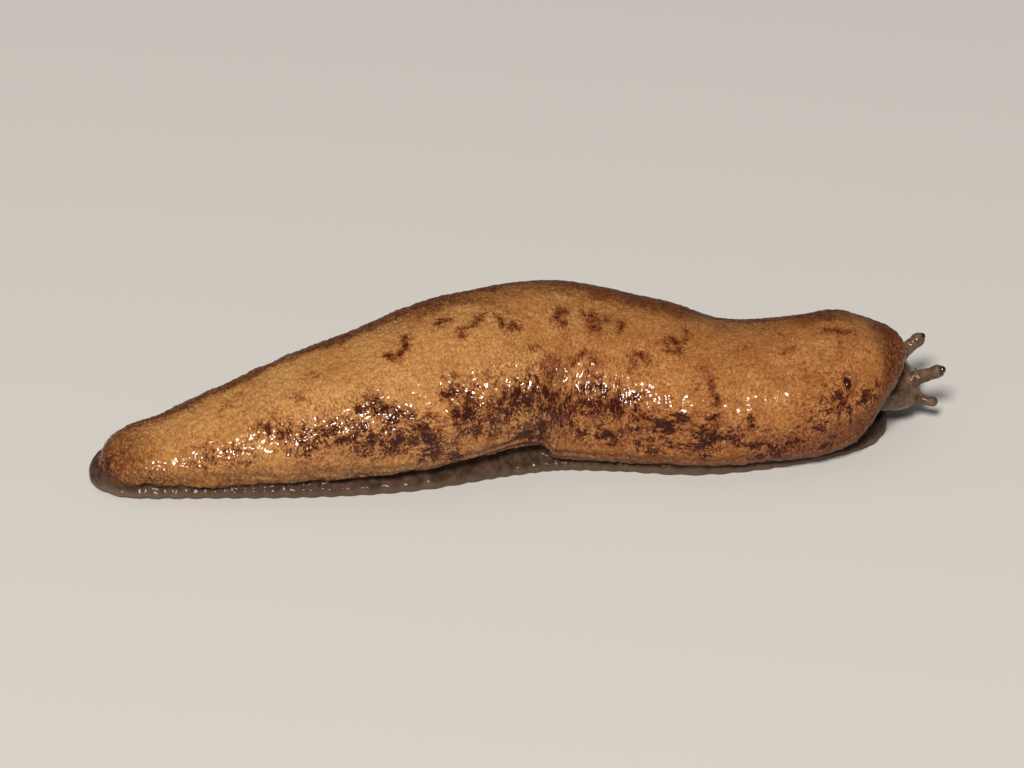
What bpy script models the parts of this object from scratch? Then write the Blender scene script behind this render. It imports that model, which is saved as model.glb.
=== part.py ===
"""A Virginia mantleslug at life size, at rest, its head drawn back under the front rim of the mantle.

The slug lies along X, head at +X, right side at -Y, sole flat on Z = 0.
Sizes are in millimetres until loft() and ellipsoid() turn them into metres.
"""

import math

import bmesh
import bpy
from mathutils import Matrix, Vector

MM = 0.001
GAP = 0.3  # between neighbouring pieces
EYE_GAP = 0.2

# The body, measured along the chord from the tip of the tail (0) to the front of the mantle.
MANTLE_REAR = 0.7
MANTLE_FRONT = 56.0
FOOT_FRONT = 55.0

# Each line below gives (distance from the tail's tip, size there).
BEND = (
    (0, -0.9), (6, -1.1), (14, -0.7), (21, 0.0), (27, 1.4), (32, 1.85), (37, 0.75), (42, -0.95), (48, -1.25),
    (53, -0.5), (60, 0.4),
)
CREST = (
    (0, 2.4), (4, 3.5), (8, 4.95), (14, 7.1), (21, 9.0), (26, 9.9), (32, 10.0), (38, 9.1), (44, 7.9),
    (50, 7.9), (52.5, 7.85), (54.5, 7.2), (56, 6.8),
)
HALF_WIDTH = (
    (0, 2.6), (4, 3.4), (8, 4.3), (14, 5.7), (21, 6.8), (27, 7.3), (33, 7.4), (38, 7.1), (44, 6.4), (50, 5.9),
    (56, 5.5),
)
RIM_RIGHT = (
    (0, 0.95), (8, 0.9), (14, 1.1), (20, 1.4), (26, 1.9), (29.6, 2.0), (30.8, 1.0), (33, 0.7), (48, 0.7),
    (50.5, 1.1), (52, 2.3), (53.5, 3.8), (56, 4.8),
)
RIM_LEFT = (
    (0, 0.95), (8, 0.9), (20, 0.9), (34, 0.75), (48, 0.7), (50.5, 1.1), (52, 2.4), (53.5, 4.0), (56, 5.0),
)
FOOT_TOP = ((0, 1.5), (6, 2.0), (14, 2.5), (44, 2.6), (50, 2.1), (53, 1.5), (56, 1.2))

WIDEST_SHARE = 0.34  # of the mantle's height, where it is widest
DOME_POWER = 2.2
UNDER_POWER = 4.5
REAR_TIP_HEIGHT = 1.5
REAR_ROUNDING = 2.4
FRONT_TIP_HEIGHT = 6.3
FRONT_ROUNDING = 5.2

# A fold in the right rim, just ahead of the tail.
NOTCH_AT = 3.9
NOTCH_DEPTH = 0.4
NOTCH_REACH = 0.4

# The foot: a flat sole, a furrowed fringe and a body that narrows up into the mantle.
FOOT_SHARE = ((0, 0.88), (40, 0.86), (47, 0.8), (52, 0.7), (56, 0.62))  # of the mantle's half width
TAIL_SPREAD = 0.75  # added to the foot's half width at the tip of the tail
TAIL_SPREAD_REACH = 5.0
SOLE_INSET = 0.35
FRINGE_EDGE = 0.2  # height of the fringe's edge, as a share of the foot's
FRINGE_TOP = 0.3
FRINGE_LIP = 0.12
FOOT_BODY = ((0.88, 0.5), (0.82, 0.75), (0.68, 0.95), (0.36, 1.0))  # shares of half width and height
FURROW_PITCH = 1.25
FURROW_DEPTH = 0.14
FOOT_ROUNDING = 3.4
CLOSING_WIDTH = 2.0  # the foot gets thinner where its half width is under this
CLOSED_SHARE = 0.45  # of its height that is left at the tips

# The head, from deep under the mantle to the snout.
NECK_REAR = 49.6
NECK_FRONT = 53.4
SNOUT = 57.4
SNOUT_ROUNDING = 2.6
SNOUT_HEIGHT = 2.55
HEAD_TOP = ((49, 3.9), (53, 4.5), (56, 4.7), (58, 4.4))
HEAD_HALF_WIDTH = ((49, 2.9), (53, 3.1), (56, 2.95), (58, 2.7))
HEAD_UNDERSIDE = ((49, 2.5), (50, 2.45), (53, 1.85), (56, 1.25), (58, 1.2))
HEAD_SIDES = 26
HEAD_SQUARENESS = 0.86

# The tentacles: an upper pair with the eyes, a lower pair beside the mouth.
UPPER_ROOT = (55.9, 1.45, 3.6)
UPPER_LEAN = (0.84, 0.34, 0.46)
UPPER_LENGTH = 2.9
UPPER_RADIUS = 0.56
LOWER_ROOT = (56.35, 1.35, 2.25)
LOWER_LEAN = (0.9, 0.42, -0.08)
LOWER_LENGTH = 1.95
LOWER_RADIUS = 0.42
EYE_RADIUS = 0.27
EYE_INSET = 0.12  # of the eye's centre from the tentacle's tip
STUB_PROFILE = (
    (0.0, 1.15), (0.3, 1.0), (0.5, 0.88), (0.68, 0.82), (0.8, 0.88), (0.9, 0.84), (0.965, 0.6), (0.995, 0.28),
)
STUB_SIDES = 14

# The mouth: an upright slit between two lips.
MOUTH_HEIGHT = 1.9
LIP_INSET = 0.42
LIP_SIDE = 0.62
LIP_RADII = (0.55, 0.66, 0.52)
MOUTH_OUTSET = 0.25
MOUTH_RADII = (0.8, 0.14, 0.5)

# The breathing pore on the right flank.
PORE_AT = 51.7
PORE_ANGLE = 37.0  # degrees up the flank
PORE_RADII = (0.42, 0.62, 1.5)

MANTLE_CUTS = (15.0, 29.0, 43.0)
FOOT_CUTS = (14.0, 29.0, 44.0)
MANTLE_STEP = 0.8
MANTLE_SIDES = 32
HEAD_STEP = 0.8
CUTTER_STEP = 1.2
END_TURNS = (14, 26, 38, 50, 62, 75)  # degrees around a rounded end where its rings are
BELOW_FLOOR = -1.0
SHARP = 50  # degrees

COLOURS = {
    "mantle": ((0.50, 0.25, 0.09), 0.32),
    "foot": ((0.22, 0.14, 0.10), 0.35),
    "head": ((0.33, 0.20, 0.12), 0.35),
    "eye": ((0.01, 0.008, 0.007), 0.12),
}


def through(points, x):
    """The value at x of a smooth curve through the points."""
    if x <= points[0][0]:
        return points[0][1]
    if x >= points[-1][0]:
        return points[-1][1]
    k = max(i for i in range(len(points) - 1) if points[i][0] <= x)

    def slope(i):
        a, b = max(i - 1, 0), min(i + 1, len(points) - 1)
        return (points[b][1] - points[a][1]) / (points[b][0] - points[a][0])

    (x0, y0), (x1, y1) = points[k], points[k + 1]
    run = x1 - x0
    t = (x - x0) / run
    return (
        (2 * t**3 - 3 * t**2 + 1) * y0
        + (t**3 - 2 * t**2 + t) * run * slope(k)
        + (3 * t**2 - 2 * t**3) * y1
        + (t**3 - t**2) * run * slope(k + 1)
    )


def rounding(distance, radius):
    """From 0 at an end to 1 at the rounding's radius from it, as a quarter of an ellipse."""
    if distance >= radius:
        return 1.0
    return math.sqrt(max(0.0, 1 - (1 - distance / radius) ** 2))


def signed_power(value, power):
    return math.copysign(abs(value) ** power, value)


def section_point(x, side, up):
    """The point of a cross-section: side is to the slug's left of its midline."""
    nearby = 0.05
    slope = (through(BEND, x + nearby) - through(BEND, x - nearby)) / (2 * nearby)
    across = Vector((-slope, 1, 0)).normalized()
    return Vector((x, through(BEND, x), 0)) + across * side + Vector((0, 0, up))


def mantle_section(x):
    """A dome over a flat underside, both closing towards the ends of the mantle."""
    behind, ahead = x - MANTLE_REAR, MANTLE_FRONT - x
    if behind < ahead:
        close, tip = rounding(behind, REAR_ROUNDING), REAR_TIP_HEIGHT
    else:
        close, tip = rounding(ahead, FRONT_ROUNDING), FRONT_TIP_HEIGHT
    top = tip + (through(CREST, x) - tip) * close
    half = through(HALF_WIDTH, x) * close
    notch = NOTCH_DEPTH * math.exp(-(((x - NOTCH_AT) / NOTCH_REACH) ** 2))
    rims = {-1: through(RIM_RIGHT, x) + notch, 1: through(RIM_LEFT, x)}
    points = []
    for k in range(MANTLE_SIDES):
        angle = 2 * math.pi * (k + 0.5) / MANTLE_SIDES
        side, up = math.cos(angle), math.sin(angle)
        rim = rims[1 if side > 0 else -1]
        low = tip - (tip - rim) * close
        middle = low + WIDEST_SHARE * (top - low)
        power = 2 / (DOME_POWER if up > 0 else UNDER_POWER)
        reach = top - middle if up > 0 else middle - low
        points.append((half * signed_power(side, power), middle + reach * signed_power(up, power)))
    return points


def foot_half_width(x):
    spread = TAIL_SPREAD * math.exp(-x / TAIL_SPREAD_REACH)
    full = through(FOOT_SHARE, x) * through(HALF_WIDTH, x) + spread
    return full * min(rounding(x, FOOT_ROUNDING), rounding(FOOT_FRONT - x, FOOT_ROUNDING))


def foot_section(x, grow=0.0):
    """The sole, the fringe and the body of the foot. A grown one, to cut with, has no furrows."""
    half = foot_half_width(x)
    closing = min(1.0, half / CLOSING_WIDTH)
    top = through(FOOT_TOP, x) * (CLOSED_SHARE + (1 - CLOSED_SHARE) * closing)
    furrow = 0.0 if grow else FURROW_DEPTH * (0.5 + 0.5 * math.cos(2 * math.pi * x / FURROW_PITCH)) ** 2
    edge = half - furrow * closing
    sole = max(edge - SOLE_INSET, 0.3 * edge)
    right = [(edge, FRINGE_EDGE * top), (edge - FRINGE_LIP * closing, FRINGE_TOP * top)]
    right += [(wide * half, high * top) for wide, high in FOOT_BODY]
    if grow:
        right = [(side + grow, up + grow * (up > grow)) for side, up in right]
    right.insert(0, (sole + 2 * grow, BELOW_FLOOR) if grow else (sole, 0.0))
    left = [(-side, up) for side, up in right]
    return left + right[::-1]


def head_section(x, grow=0.0):
    """A rounded snout, a little flatter below than above."""
    close = rounding(SNOUT + grow - x, SNOUT_ROUNDING)
    half = through(HEAD_HALF_WIDTH, x) * close + grow
    top = SNOUT_HEIGHT + (through(HEAD_TOP, x) - SNOUT_HEIGHT) * close + grow
    low = SNOUT_HEIGHT - (SNOUT_HEIGHT - through(HEAD_UNDERSIDE, x)) * close - grow
    middle, reach = 0.5 * (top + low), 0.5 * (top - low)
    points = []
    for k in range(HEAD_SIDES):
        angle = 2 * math.pi * (k + 0.5) / HEAD_SIDES
        side = signed_power(math.cos(angle), HEAD_SQUARENESS)
        up = signed_power(math.sin(angle), HEAD_SQUARENESS)
        points.append((half * side, middle + reach * up))
    return points


def stations(start, end, step, start_rounding=0.0, end_rounding=0.0):
    """Distances along the body, closer together towards an end that is rounded off."""
    inner_start, inner_end = start + start_rounding, end - end_rounding
    count = max(1, round((inner_end - inner_start) / step))
    found = [inner_start + (inner_end - inner_start) * k / count for k in range(count + 1)]
    turns = [1 - math.cos(math.radians(turn)) for turn in END_TURNS]
    if start_rounding:
        found = [start + start_rounding * turn for turn in turns] + found
    if end_rounding:
        found = found + [end - end_rounding * turn for turn in reversed(turns)]
    return found


def paint(obj, look):
    colour, roughness = COLOURS[look]
    material = bpy.data.materials.get(look) or bpy.data.materials.new(look)
    material.use_nodes = True
    shader = material.node_tree.nodes["Principled BSDF"]
    shader.inputs["Base Color"].default_value = (*colour, 1)
    shader.inputs["Roughness"].default_value = roughness
    material.diffuse_color = (*colour, 1)
    obj.data.materials.append(material)


def loft(name, rings, look):
    """A closed mesh through the rings, in metres."""
    bm = bmesh.new()
    loops = [[bm.verts.new(point * MM) for point in ring] for ring in rings]
    for first, second in zip(loops, loops[1:]):
        for k in range(len(first)):
            n = (k + 1) % len(first)
            bm.faces.new((first[k], first[n], second[n], second[k]))
    bm.faces.new(loops[0])
    bm.faces.new(reversed(loops[-1]))
    bmesh.ops.recalc_face_normals(bm, faces=bm.faces)
    mesh = bpy.data.meshes.new(name)
    bm.to_mesh(mesh)
    bm.free()
    obj = bpy.data.objects.new(name, mesh)
    bpy.context.scene.collection.objects.link(obj)
    paint(obj, look)
    return obj


def along_body(name, section, places, look, **more):
    rings = [[section_point(x, side, up) for side, up in section(x, **more)] for x in places]
    return loft(name, rings, look)


def boolean(target, others, operation):
    """Joins the others to the target, or cuts them from it, and removes them."""
    group = bpy.data.collections.new(target.name + "_tools")
    for other in others:
        group.objects.link(other)
    modifier = target.modifiers.new(operation.lower(), "BOOLEAN")
    modifier.operation = operation
    modifier.operand_type = "COLLECTION"
    modifier.collection = group
    modifier.solver = "EXACT"
    bpy.context.view_layer.update()
    graph = bpy.context.evaluated_depsgraph_get()
    mesh = bpy.data.meshes.new_from_object(target.evaluated_get(graph))
    target.modifiers.clear()
    target.data = mesh
    for other in others:
        bpy.data.objects.remove(other)
    bpy.data.collections.remove(group)


def keep_largest(obj):
    """Drops every closed surface of the mesh but the largest."""
    bm = bmesh.new()
    bm.from_mesh(obj.data)
    left, islands = set(bm.verts), []
    while left:
        seed = left.pop()
        island, front = {seed}, [seed]
        while front:
            for edge in front.pop().link_edges:
                for vert in edge.verts:
                    if vert in left:
                        left.remove(vert)
                        island.add(vert)
                        front.append(vert)
        islands.append(island)
    islands.sort(key=len)
    loose = [vert for island in islands[:-1] for vert in island]
    bmesh.ops.delete(bm, geom=loose, context="VERTS")
    bm.to_mesh(obj.data)
    bm.free()


def ellipsoid(name, centre, radii, turn, look, detail=(16, 10)):
    """An ellipsoid whose own axes are turned by the matrix turn."""
    bm = bmesh.new()
    bmesh.ops.create_uvsphere(bm, u_segments=detail[0], v_segments=detail[1], radius=1)
    shape = Matrix.Translation(centre) @ turn.to_4x4() @ Matrix.Diagonal((*radii, 1))
    bmesh.ops.transform(bm, matrix=Matrix.Scale(MM, 4) @ shape, verts=bm.verts)
    mesh = bpy.data.meshes.new(name)
    bm.to_mesh(mesh)
    bm.free()
    obj = bpy.data.objects.new(name, mesh)
    bpy.context.scene.collection.objects.link(obj)
    paint(obj, look)
    return obj


def tentacle(name, root, lean, length, radius, side):
    """A stub that tapers, then swells a little at its round tip. Its root is inside the head."""
    start = section_point(root[0], side * root[1], root[2])
    direction = Vector((lean[0], side * lean[1], lean[2])).normalized()
    turn = direction.to_track_quat("Z", "Y").to_matrix()
    rings = []
    for far, wide in STUB_PROFILE:
        ring = []
        for k in range(STUB_SIDES):
            angle = 2 * math.pi * k / STUB_SIDES
            out = radius * wide
            ring.append(start + turn @ Vector((out * math.cos(angle), out * math.sin(angle), length * far)))
        rings.append(ring)
    return loft(name, rings, "head"), start + direction * (length - EYE_INSET)


def eye(name, centre, grow=0.0):
    return ellipsoid(name, centre, (EYE_RADIUS + grow,) * 3, Matrix.Identity(3), "eye", (12, 8))


def head_cutter():
    places = stations(NECK_REAR - GAP, SNOUT + GAP, HEAD_STEP, end_rounding=SNOUT_ROUNDING)
    return along_body("head_space", head_section, places, "head", grow=GAP)


def foot_cutter():
    places = stations(-GAP, FOOT_FRONT + GAP, CUTTER_STEP)

    def section(x, grow):
        return foot_section(min(max(x, GAP), FOOT_FRONT - GAP), grow)

    return along_body("foot_space", section, places, "foot", grow=GAP)


def pore_cutter():
    x = PORE_AT
    angle = math.radians(PORE_ANGLE)
    top, rim = through(CREST, x), through(RIM_RIGHT, x)
    middle = rim + WIDEST_SHARE * (top - rim)
    power = 2 / DOME_POWER
    close = rounding(MANTLE_FRONT - x, FRONT_ROUNDING)
    side = -through(HALF_WIDTH, x) * close * math.cos(angle) ** power
    centre = section_point(x, side, middle + (top - middle) * close * math.sin(angle) ** power)
    outward = Vector((0, -math.cos(angle), math.sin(angle)))
    turn = outward.to_track_quat("Z", "Y").to_matrix()
    return ellipsoid("pore", centre, PORE_RADII, turn, "eye")


def lengths(start, cuts, end):
    """The start and the end of each length of the body between the cuts, with a gap at each cut."""
    starts = (start, *[cut + GAP / 2 for cut in cuts])
    ends = (*[cut - GAP / 2 for cut in cuts], end)
    return list(zip(starts, ends))


def make_mantle():
    """The mantle covers the back in four lengths, cut clear of the foot and of the head under it."""
    names = ("mantle_tail", "mantle_rear", "mantle_middle", "mantle_front")
    for name, (start, end) in zip(names, lengths(MANTLE_REAR, MANTLE_CUTS, MANTLE_FRONT)):
        roundings = (
            REAR_ROUNDING if start == MANTLE_REAR else 0.0,
            FRONT_ROUNDING if end == MANTLE_FRONT else 0.0,
        )
        obj = along_body(name, mantle_section, stations(start, end, MANTLE_STEP, *roundings), "mantle")
        boolean(obj, [foot_cutter()], "DIFFERENCE")
        if end == MANTLE_FRONT:
            boolean(obj, [head_cutter()], "DIFFERENCE")
            boolean(obj, [pore_cutter()], "DIFFERENCE")
        keep_largest(obj)


def make_foot():
    """The foot in four lengths, the foremost cut clear of the head."""
    names = ("foot_tail", "foot_rear", "foot_middle", "foot_front")
    for name, (start, end) in zip(names, lengths(0.0, FOOT_CUTS, FOOT_FRONT)):
        roundings = (
            FOOT_ROUNDING if start == 0.0 else 0.0,
            FOOT_ROUNDING if end == FOOT_FRONT else 0.0,
        )
        obj = along_body(name, foot_section, stations(start, end, FURROW_PITCH / 3, *roundings), "foot")
        if end == FOOT_FRONT:
            boolean(obj, [head_cutter()], "DIFFERENCE")
            keep_largest(obj)


def make_head():
    """Neck and head, with lips and mouth."""
    along_body("neck", head_section, stations(NECK_REAR, NECK_FRONT - GAP / 2, HEAD_STEP), "head")
    places = stations(NECK_FRONT + GAP / 2, SNOUT, HEAD_STEP, end_rounding=SNOUT_ROUNDING)
    head = along_body("head", head_section, places, "head")
    level = Matrix.Identity(3)
    for side in (-1, 1):
        centre = section_point(SNOUT - LIP_INSET, side * LIP_SIDE, MOUTH_HEIGHT)
        boolean(head, [ellipsoid("lip", centre, LIP_RADII, level, "head")], "UNION")
    centre = section_point(SNOUT + MOUTH_OUTSET, 0, MOUTH_HEIGHT)
    boolean(head, [ellipsoid("mouth", centre, MOUTH_RADII, level, "eye")], "DIFFERENCE")
    keep_largest(head)


def make_tentacles():
    """An upper and a lower tentacle on each side, cut clear of the head, the upper ones with an eye."""
    for side, word in ((-1, "right"), (1, "left")):
        names = f"tentacle_upper_{word}", f"tentacle_lower_{word}"
        upper, tip = tentacle(names[0], UPPER_ROOT, UPPER_LEAN, UPPER_LENGTH, UPPER_RADIUS, side)
        lower, _ = tentacle(names[1], LOWER_ROOT, LOWER_LEAN, LOWER_LENGTH, LOWER_RADIUS, side)
        boolean(upper, [eye("eye_space", tip, EYE_GAP)], "DIFFERENCE")
        for stub in (upper, lower):
            boolean(stub, [head_cutter()], "DIFFERENCE")
            keep_largest(stub)
        eye(f"eye_{word}", tip)


def centre_on_origin():
    """Moves every mesh so that the origin is under the middle of the slug, at the floor."""
    points = [vert.co for obj in bpy.data.objects for vert in obj.data.vertices]
    low = Vector(min(p[i] for p in points) for i in range(3))
    high = Vector(max(p[i] for p in points) for i in range(3))
    shift = Vector((-(low.x + high.x) / 2, -(low.y + high.y) / 2, -low.z))
    for obj in bpy.data.objects:
        obj.data.transform(Matrix.Translation(shift))
        obj.data.shade_smooth()
        obj.data.set_sharp_from_angle(angle=math.radians(SHARP))


def main():
    for obj in list(bpy.data.objects):
        bpy.data.objects.remove(obj)
    make_mantle()
    make_foot()
    make_head()
    make_tentacles()
    centre_on_origin()


main()
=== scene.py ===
"""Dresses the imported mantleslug: one moist, blotched skin over its solids, glossy eyes, floor and lights.

Sizes are in millimetres on the body: x along its chord from the tail's tip, side to its left, up from the
floor. to_world() bends them along the body and to_metres() puts them in the frame. A pair of numbers for
smooth_step() or between() is where something starts to show and where it shows in full.
"""

import math

import bmesh
import bpy
import numpy as np
from mathutils import Matrix, Vector
from mathutils.bvhtree import BVHTree


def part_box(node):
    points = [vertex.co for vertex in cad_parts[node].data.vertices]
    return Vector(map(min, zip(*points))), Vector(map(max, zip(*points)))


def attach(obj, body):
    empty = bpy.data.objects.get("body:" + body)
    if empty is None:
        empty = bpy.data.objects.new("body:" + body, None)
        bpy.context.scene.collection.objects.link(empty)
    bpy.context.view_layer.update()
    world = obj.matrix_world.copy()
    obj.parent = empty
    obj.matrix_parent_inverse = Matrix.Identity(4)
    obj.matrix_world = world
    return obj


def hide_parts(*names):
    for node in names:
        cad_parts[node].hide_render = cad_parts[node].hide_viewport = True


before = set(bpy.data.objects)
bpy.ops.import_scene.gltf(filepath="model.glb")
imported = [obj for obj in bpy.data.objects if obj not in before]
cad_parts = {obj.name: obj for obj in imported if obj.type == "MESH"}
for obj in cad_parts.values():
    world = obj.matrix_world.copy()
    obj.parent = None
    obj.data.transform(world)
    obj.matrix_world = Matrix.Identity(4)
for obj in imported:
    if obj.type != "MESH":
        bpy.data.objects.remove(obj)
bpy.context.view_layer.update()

MM = 0.001

# The camera, from the photograph's viewing angle.
IMAGE = (1024, 768)
AZIMUTH, ELEVATION = -7.9, 30.0
LENS, SENSOR = 150.0, 36.0
DISTANCE = 0.292
AIM = (-0.0002, 0.00025, 0.004)

# The body, the same sizes as its solids have.
MANTLE_REAR, MANTLE_FRONT, FOOT_FRONT = 0.7, 56.0, 55.0
BEND = (
    (0, -0.9), (6, -1.1), (14, -0.7), (21, 0.0), (27, 1.4), (32, 1.85), (37, 0.75), (42, -0.95), (48, -1.25),
    (53, -0.5), (60, 0.4),
)
CREST = (
    (0, 2.4), (4, 3.5), (8, 4.95), (14, 7.1), (21, 9.0), (26, 9.9), (32, 10.0), (38, 9.1), (44, 7.9),
    (50, 7.9), (52.5, 7.85), (54.5, 7.2), (56, 6.8),
)
HALF_WIDTH = (
    (0, 2.6), (4, 3.4), (8, 4.3), (14, 5.7), (21, 6.8), (27, 7.3), (33, 7.4), (38, 7.1), (44, 6.4), (50, 5.9),
    (56, 5.5),
)
RIM_RIGHT = (
    (0, 0.95), (8, 0.9), (14, 1.1), (20, 1.4), (26, 1.9), (29.6, 2.0), (30.8, 1.0), (33, 0.7), (48, 0.7),
    (50.5, 1.1), (52, 2.3), (53.5, 3.8), (56, 4.8),
)
RIM_LEFT = (
    (0, 0.95), (8, 0.9), (20, 0.9), (34, 0.75), (48, 0.7), (50.5, 1.1), (52, 2.4), (53.5, 4.0), (56, 5.0),
)
WIDEST_SHARE = 0.34
DOME_POWER = 2.2
UNDER_POWER = 4.5
REAR_TIP_HEIGHT, REAR_ROUNDING = 1.5, 2.4
FRONT_TIP_HEIGHT, FRONT_ROUNDING = 6.3, 5.2
NOTCH_AT, NOTCH_DEPTH, NOTCH_REACH = 3.9, 0.4, 0.4

# The foot. Its width and height go with climb, from 0 at the sole's edge to 1 in the middle of its top.
FOOT_TOP = ((0, 1.5), (6, 2.0), (14, 2.5), (44, 2.6), (50, 2.1), (53, 1.5), (56, 1.2))
FOOT_SHARE = ((0, 0.88), (40, 0.86), (47, 0.8), (52, 0.7), (56, 0.62))
TAIL_SPREAD, TAIL_SPREAD_REACH = 0.75, 5.0
SOLE_INSET, SOLE_INSET_LIMIT, SOLE_CLIMB = 0.35, 0.7, (0.15, 0)
FOOT_WIDE = ((0, 1.0), (0.15, 1.0), (0.25, 0.98), (0.45, 0.88), (0.65, 0.82), (0.85, 0.68), (1, 0.0))
FOOT_HIGH = ((0, 0.0), (0.15, 0.2), (0.25, 0.3), (0.45, 0.5), (0.65, 0.75), (0.85, 0.95), (1, 1.0))
FURROW_PITCH, FURROW_DEPTH, FURROW_CLIMB = 1.25, 0.14, (0.6, 0.3)
FOOT_ROUNDING = 3.4
CLOSING_WIDTH, CLOSED_SHARE = 2.0, 0.45

# The neck and the head.
NECK_ROOT, HEAD_SPACE_REAR = 47.0, 49.3
SNOUT, SNOUT_ROUNDING, SNOUT_HEIGHT = 57.4, 2.6, 2.55
HEAD_TOP = ((49, 3.9), (53, 4.5), (56, 4.7), (58, 4.4))
HEAD_HALF_WIDTH = ((49, 2.9), (53, 3.1), (56, 2.95), (58, 2.7))
HEAD_UNDERSIDE = ((49, 2.5), (50, 2.45), (53, 1.85), (56, 1.25), (58, 1.2))
HEAD_SQUARENESS = 0.86
HEAD_GAP = 0.3

# The tentacles, eyes, lips and mouth. STUB_WIDE goes with the share of a tentacle's length.
UPPER_ROOT, UPPER_LEAN, UPPER_LENGTH, UPPER_RADIUS = (55.9, 1.45, 3.6), (0.84, 0.34, 0.46), 2.9, 0.56
LOWER_ROOT, LOWER_LEAN, LOWER_LENGTH, LOWER_RADIUS = (56.35, 1.35, 2.25), (0.9, 0.42, -0.08), 1.95, 0.42
STUB_WIDE = (
    (-0.12, 1.9), (0.0, 1.45), (0.15, 1.12), (0.3, 1.0), (0.5, 0.88), (0.68, 0.82), (0.8, 0.88), (0.9, 0.84),
    (0.965, 0.6), (1, 0.2),
)
EYE_RADIUS, EYE_INSET = 0.27, 0.12
MOUTH_HEIGHT = 1.9
LIP_INSET, LIP_SIDE, LIP_RADII = 0.42, 0.62, (0.55, 0.66, 0.52)
MOUTH_RADII, MOUTH_DEPTH = (0.5, 0.2, 0.55), 0.45

# How finely the forms are made: voxels, steps along the body, rings and sides, and rounds of smoothing.
VOXEL = 0.1
MANTLE_STEP, MANTLE_SIDES = 0.35, 112
RINGS_PER_FURROW, FOOT_POINTS = 6, 61
HEAD_STEP, HEAD_SPACE_STEP, HEAD_SIDES = 0.4, 0.5, 64
STUB_RINGS, STUB_SIDES = 40, 28
ROUNDING_ANGLES = np.arange(6, 84, 6)
SOFTENING, SMOOTHING = 0.5, 8
INVERSE_ROUNDS = 10
TINY = 1e-6

# The relief of the skin: the size of its cells and its height, which goes with x on most of the mantle.
# GRANULE_MEAN is about what granules() gives on average.
REGION_BLEND = 0.08
GRANULE_MEAN = 0.75
GRANULE_CELL = (0.42, 0.45, 0.45)
GRANULE_HEIGHT = ((0, 0.17), (16, 0.17), (25, 0.15), (30, 0.11), (36, 0.085), (56, 0.1))
RIDGE_CELL, RIDGE_HEIGHT = (0.5, 2.0, 2.0), ((0, 0.0), (26, 0.02), (33, 0.16), (56, 0.13))
LUMP_SIZE, LUMP_HEIGHT = 1.2, ((0, 0.13), (26, 0.14), (32, 0.08), (56, 0.07))
SWELL_SIZE, SWELL_HEIGHT = 3.0, 0.1
FINE_SIZE, FINE_HEIGHT = 0.25, 0.006
HEAD_GRANULE_SIZE, HEAD_GRANULE_HEIGHT = 0.4, 0.11
FOOT_GRANULE_CELL, FOOT_GRANULE_HEIGHT = (0.35, 0.5, 0.5), 0.035

# The creases that run along the mantle, by their heights above its rim. They are also painted dark brown:
# painted shade in the creases.
FOLD_HEIGHTS, FOLD_WIDTH, FOLD_DEPTH = (0.35, 0.85, 1.4), 0.14, 0.11
FOLD_WAVE, FOLD_WAVE_SIZE, FOLD_EVENNESS = 0.15, 3.0, 0.6
FOLD_STRENGTH = ((0, 0.3), (12, 0.4), (20, 0.8), (24, 1.4), (31, 1.5), (35, 0.9), (42, 0.5), (56, 0.4))

# The hollows. In shares of its radii, a hollow is deepest up to the first of HOLLOW_SLOPE and ends at the
# second, and its lip is at HOLLOW_LIP.
HOLLOW_REACH, HOLLOW_SLOPE, HOLLOW_LIP, HOLLOW_LIP_REACH = 1.5, (0.3, 1.0), 1.25, 0.3
PORE_RADII, PORE_DEPTH, PORE_RIM = (0.32, 0.56), 0.6, 0.05
EYE_ROOM, EYE_CUP_RADIUS, EYE_CUP_DEPTH = 0.02, 0.3, 0.4

# How far the skin's normal points up on the flanks and on the sole, and how high the flat sole reaches.
FLANK_TILT, SOLE_TILT, SOLE_REACH = (0.92, 0.7), (-0.6, -0.95), (0.3, 0.1)

# How wet the skin is. The mantle's wetness goes with x and starts just above the rim.
MANTLE_WETNESS, FOOT_WETNESS = ((0, 1.0), (29, 1.0), (34, 0.55), (56, 0.75)), 0.05
WET_ABOVE_RIM = (0.0, 1.2)

# The dark pigment. A stroke's halo has a share of its strength, and reaches that many radii. A warp is the
# cell size, reach and seed of the noise that makes edges ragged. The hidden flank's copy is shifted along.
HALO, HALO_REACH = 0.4, 2.2
BLOTCH_WARP, BAND_WARP = (0.6, 0.2, 101), (1.3, 0.6, 201)
BLOTCH_SHARE, BLOTCH_SOLIDNESS, SOLID_FROM = 0.85, 0.5, (0.0, 0.4)
BAND_PATCH_SIZE, BAND_PATCHINESS = 1.4, 0.55
MOST_DARK = 1.2
MIRROR_SHIFT = -1.7

# Where the clear skin turns brown, and where shade is painted into it with the same brown: painted shade with
# some brown low on the rear and along the rim, painted shade in the bay, and brown with painted shade low on
# the front and on the back and crest. AT is a place or a pair of places along the body, and UP is a pair of
# heights above the rim, or above the floor low on the front. On the back AT and REACH are shares of the half
# width, and
# BACK_DEPTH is how far below the crest the brown goes.
TAIL_AT = (6.0, 1.0)
LOW_TAIL_BROWN, LOW_TAIL_AT, LOW_TAIL_UP = 0.7, (14, 6), (2.6, 1.0)
# Painted shade with some brown low on the rear flank.
LOW_REAR_SHADE_AND_BROWN, LOW_REAR_AT, LOW_REAR_REACH, LOW_REAR_UP = 0.75, 17.5, 3.0, (3.0, 1.0)
# Painted shade with some brown along the rim.
RIM_SHADE_AND_BROWN, RIM_UP = 0.6, (3.0, 0.8)
# Painted shade in the bay low on the middle flank.
BAY_AT, BAY_REACH, BAY_UP = 31.0, 4.5, (1.4, 0.5)
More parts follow.
